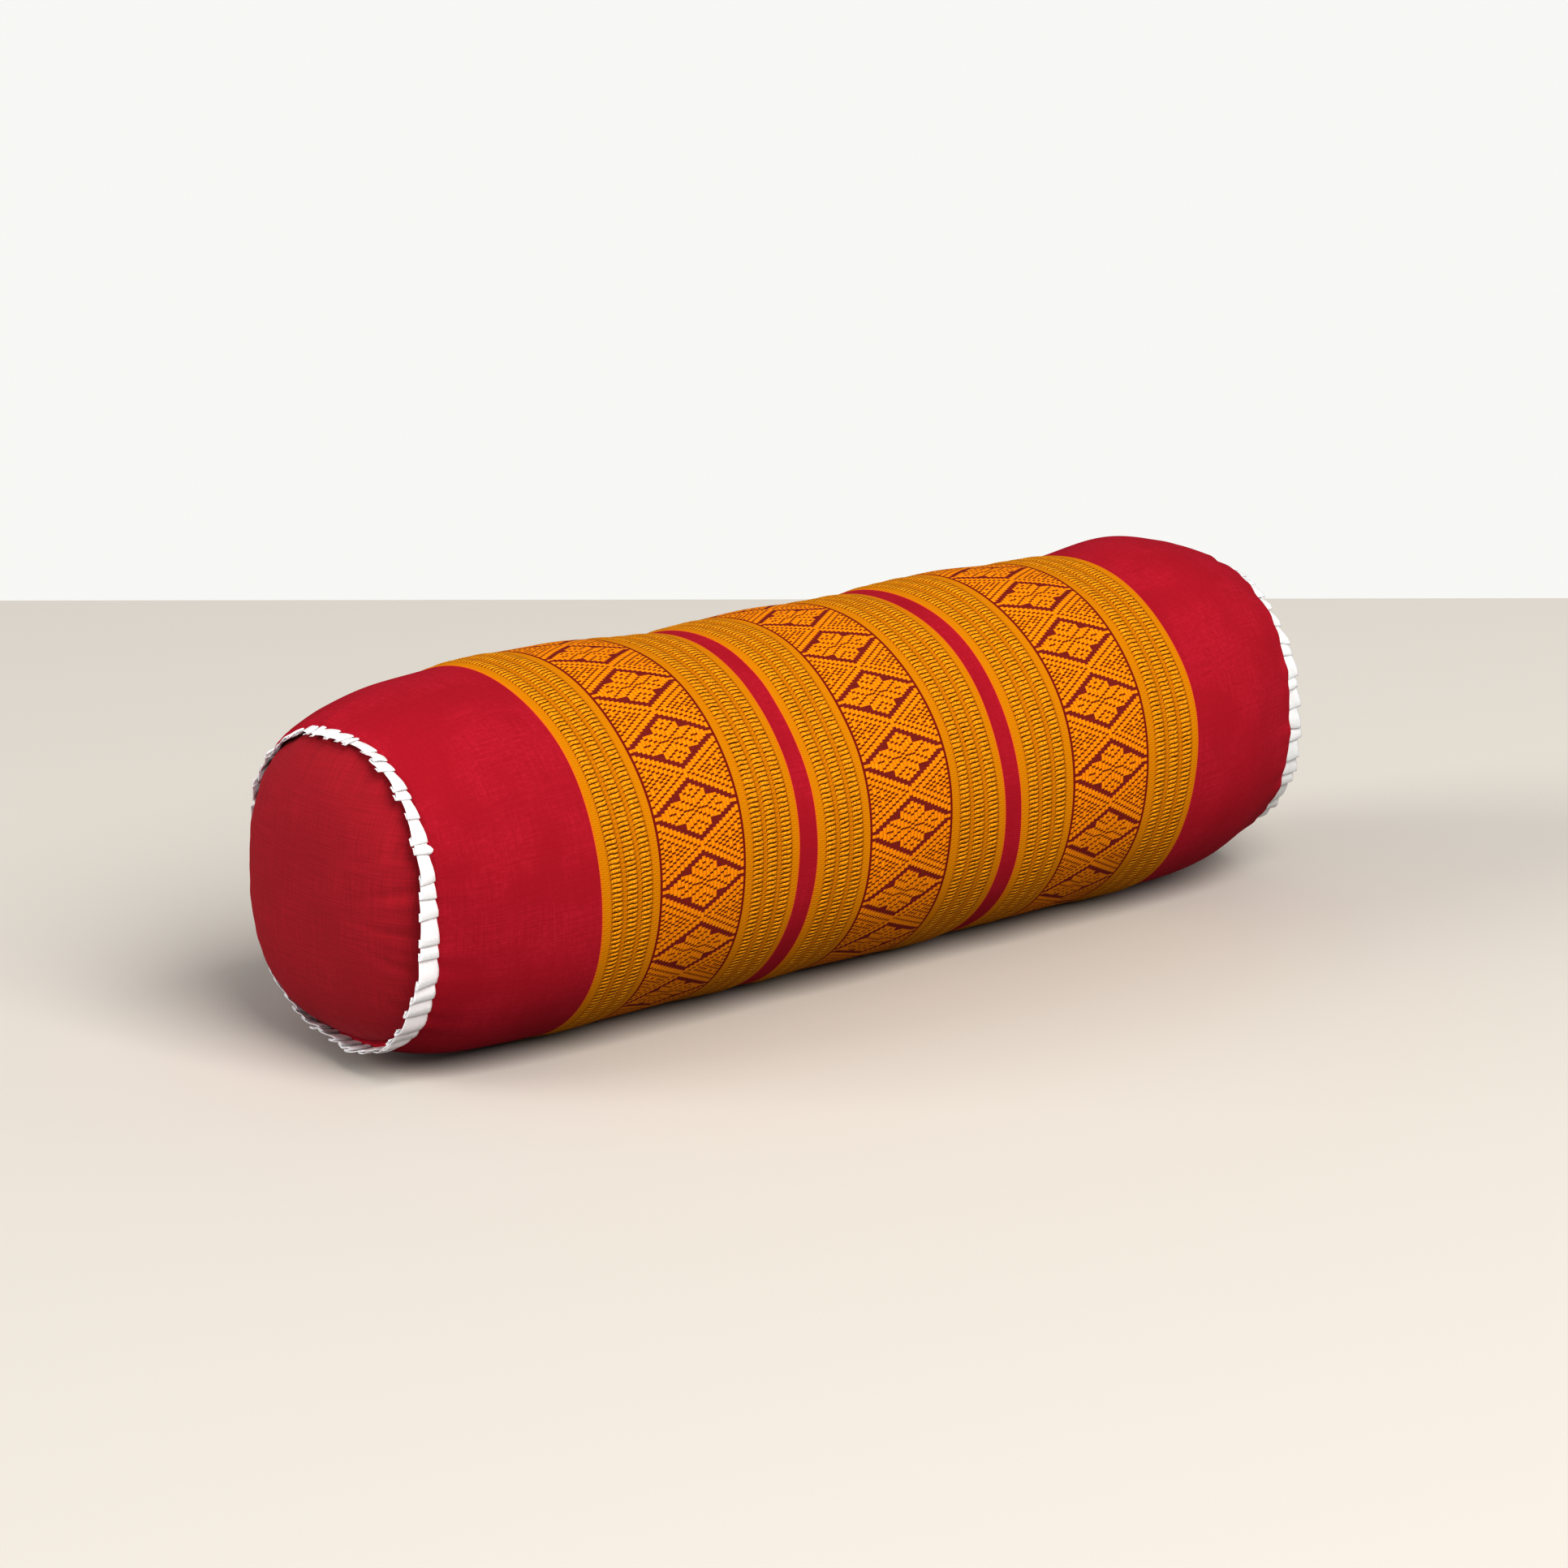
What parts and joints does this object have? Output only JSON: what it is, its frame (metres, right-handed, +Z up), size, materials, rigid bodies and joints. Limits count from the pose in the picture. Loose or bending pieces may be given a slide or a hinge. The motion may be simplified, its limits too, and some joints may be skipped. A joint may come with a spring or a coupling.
{
  "type": "neck roll pillow",
  "caption": "Firm filled cloth roll with woven gold bands on red, crowned round red ends and a pleated white ribbon in each end seam.",
  "frame": {"origin": "under the middle of the roll, on the surface it lies on: the centre of the bottom of its bounding box", "axes": "+X along the roll from its left end to its right end, +Y to its back, +Z up"},
  "size_m": [0.4959, 0.1544, 0.1415],
  "materials": {
    "woven_cloth": "firm cotton weave, red ground with raised gold and maroon bands, matt",
    "plain_cotton": "plain red cotton, matt, slightly duller than the tube",
    "white_ribbon": "white woven ribbon pressed into knife pleats, soft sheen"
  },
  "bodies": {
    "root": {"cover": "woven_cloth", "end_panel_left": "plain_cotton", "end_panel_right": "plain_cotton", "frill_left": "white_ribbon", "frill_right": "white_ribbon"}
  },
  "joints": []
}
